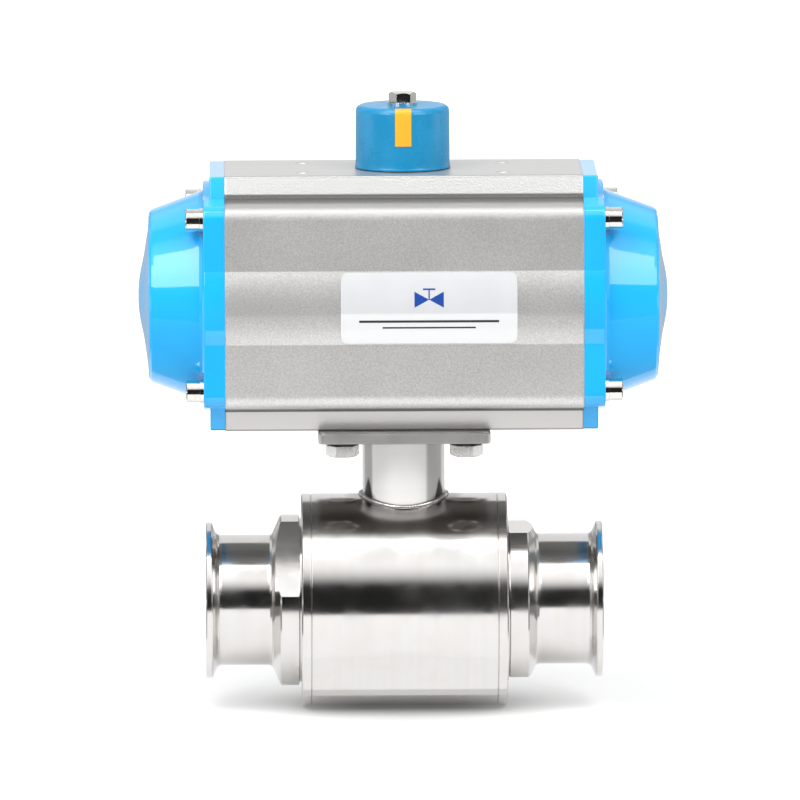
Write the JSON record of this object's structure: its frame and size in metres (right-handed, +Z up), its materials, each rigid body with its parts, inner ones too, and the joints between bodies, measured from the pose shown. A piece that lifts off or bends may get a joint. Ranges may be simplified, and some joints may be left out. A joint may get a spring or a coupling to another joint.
{
  "type": "pneumatic actuated valve",
  "caption": "Clamp-end sanitary ball valve worked by a spring-return rack-and-pinion pneumatic actuator, with a square mounting pad and a position indicator.",
  "frame": {"origin": "centre of the ball, where the flow line crosses the stem line", "axes": "+X along the pipe towards the right-hand ferrule, -Y towards the front with the nameplate, +Z up the stem to the actuator"},
  "size_m": [0.3086, 0.146, 0.3605],
  "materials": {
    "stainless_polished": "polished",
    "stainless_satin": "satin",
    "zinc_steel": "plated",
    "housing_aluminium": "blasted and anodised",
    "piston_aluminium": "machined",
    "cap_paint": "gloss",
    "indicator_plastic": "satin",
    "mark_plastic": "satin",
    "label": "satin",
    "ptfe": "moulded",
    "acetal": "moulded",
    "nitrile": "moulded",
    "spring_steel": "phosphated"
  },
  "bodies": {
    "root": {"valve_body": "stainless_polished", "bonnet_neck": "stainless_polished", "weld_bead": "stainless_polished", "left_end_adapter": "stainless_polished", "right_end_adapter": "stainless_polished", "left_seat": "ptfe", "right_seat": "ptfe", "left_body_seal": "ptfe", "right_body_seal": "ptfe", "stem_thrust_washer": "ptfe", "stem_bush": "ptfe", "stem_packing": "ptfe", "packing_gland": "stainless_satin", "disc_springs": "stainless_satin", "mounting_pad": "stainless_satin", "locating_ring": "acetal", "mounting_bolts": "stainless_satin", "mounting_washers": "stainless_satin", "actuator_housing": "housing_aluminium", "left_end_cap": "cap_paint", "right_end_cap": "cap_paint", "left_cap_seal": "nitrile", "right_cap_seal": "nitrile", "left_cap_screws": "zinc_steel", "right_cap_screws": "zinc_steel", "left_cap_washers": "zinc_steel", "right_cap_washers": "zinc_steel", "lower_pinion_bearing": "acetal", "upper_pinion_bearing": "acetal", "pinion_thrust_washer": "acetal", "stop_lock_nuts": "zinc_steel", "stop_seal_washers": "nitrile", "left_return_springs": "spring_steel", "right_return_springs": "spring_steel", "nameplate": "label"},
    "drive_train": {"ball": "stainless_polished", "stem": "stainless_satin", "stem_nut": "stainless_satin", "drive_sleeve": "stainless_satin", "pinion": "zinc_steel", "stop_cam": "zinc_steel", "lower_pinion_seal": "nitrile", "pinion_snap_ring": "spring_steel", "indicator_cap": "indicator_plastic", "position_mark": "mark_plastic", "indicator_washer": "zinc_steel", "indicator_screw": "zinc_steel"},
    "left_piston": {"left_piston": "piston_aluminium", "left_piston_seal": "nitrile", "left_piston_guide_ring": "acetal", "left_rack_guide": "acetal"},
    "right_piston": {"right_piston": "piston_aluminium", "right_piston_seal": "nitrile", "right_piston_guide_ring": "acetal", "right_rack_guide": "acetal"},
    "closed_stop": {"closed_stop_bolt": "zinc_steel"},
    "open_stop": {"open_stop_bolt": "zinc_steel"}
  },
  "joints": [
    {"name": "quarter_turn", "type": "hinge", "parent": "root", "child": "drive_train", "pos_m": [0, 0, 0], "axis": [0, 0, 1], "range_deg": [0, 90]},
    {"name": "left_piston_slide", "type": "slide", "parent": "root", "child": "left_piston", "axis": [-1, 0, 0], "range_m": [0, 0.03309], "deforming": ["left_return_springs"]},
    {"name": "right_piston_slide", "type": "slide", "parent": "root", "child": "right_piston", "axis": [1, 0, 0], "range_m": [0, 0.03309], "deforming": ["right_return_springs"]},
    {"name": "closed_stop_adjust", "type": "slide", "parent": "root", "child": "closed_stop", "axis": [0, 1, 0], "range_m": [0, 0.004]},
    {"name": "open_stop_adjust", "type": "slide", "parent": "root", "child": "open_stop", "axis": [0, 1, 0], "range_m": [0, 0.004]}
  ],
  "couplings": [
    {"joint": "left_piston_slide", "follows": "quarter_turn", "m_per_rad": 0.021},
    {"joint": "right_piston_slide", "follows": "quarter_turn", "m_per_rad": 0.021}
  ]
}
